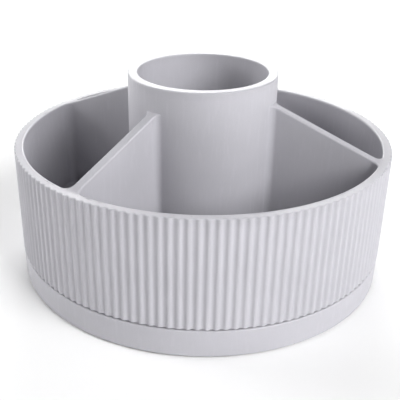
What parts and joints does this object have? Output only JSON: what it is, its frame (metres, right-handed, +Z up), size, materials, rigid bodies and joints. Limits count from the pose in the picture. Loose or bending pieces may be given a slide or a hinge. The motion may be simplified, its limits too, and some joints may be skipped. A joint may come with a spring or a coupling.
{
  "type": "rotating desk organizer",
  "caption": "Round fluted desk organizer with a tall central cup and sloping dividers, turning on a ball race in a shallow base dish.",
  "frame": {"origin": "on the desk under the turning axis, at the middle of the part's footprint", "axes": "+Z up along the turning axis, -Y towards the viewer with the wide bay nearly in front, +X to the viewer's right"},
  "size_m": [0.18, 0.18, 0.0971],
  "materials": {
    "tray_plastic": "fine matte",
    "base_plastic": "fine matte",
    "cage_plastic": "plain moulded",
    "bush_plastic": "plain moulded",
    "race_steel": "zinc plated",
    "screw_steel": "zinc plated",
    "ball_steel": "polished",
    "foot_rubber": "matte"
  },
  "bodies": {
    "base": {"base_dish": "base_plastic", "race_lower": "race_steel", "race_lower_screws": "screw_steel", "pivot_bush": "bush_plastic", "foot_1": "foot_rubber", "foot_2": "foot_rubber", "foot_3": "foot_rubber", "foot_4": "foot_rubber", "foot_5": "foot_rubber", "foot_6": "foot_rubber"},
    "tray": {"tray": "tray_plastic", "race_upper": "race_steel", "race_upper_screws": "screw_steel", "pivot_screw": "screw_steel", "thrust_washer": "screw_steel"},
    "cage": {"ball_cage": "cage_plastic", "ball_01": "ball_steel", "ball_02": "ball_steel", "ball_03": "ball_steel", "ball_04": "ball_steel", "ball_05": "ball_steel", "ball_06": "ball_steel", "ball_07": "ball_steel", "ball_08": "ball_steel", "ball_09": "ball_steel", "ball_10": "ball_steel", "ball_11": "ball_steel", "ball_12": "ball_steel", "ball_13": "ball_steel", "ball_14": "ball_steel", "ball_15": "ball_steel", "ball_16": "ball_steel"}
  },
  "joints": [
    {"name": "tray_spin", "type": "hinge", "parent": "base", "child": "tray", "pos_m": [0, 0, 0.0084], "axis": [0, 0, 1], "continuous": true},
    {"name": "cage_spin", "type": "hinge", "parent": "base", "child": "cage", "pos_m": [0, 0, 0.0084], "axis": [0, 0, 1], "continuous": true}
  ],
  "couplings": [
    {"joint": "cage_spin", "follows": "tray_spin", "ratio": 0.5}
  ]
}
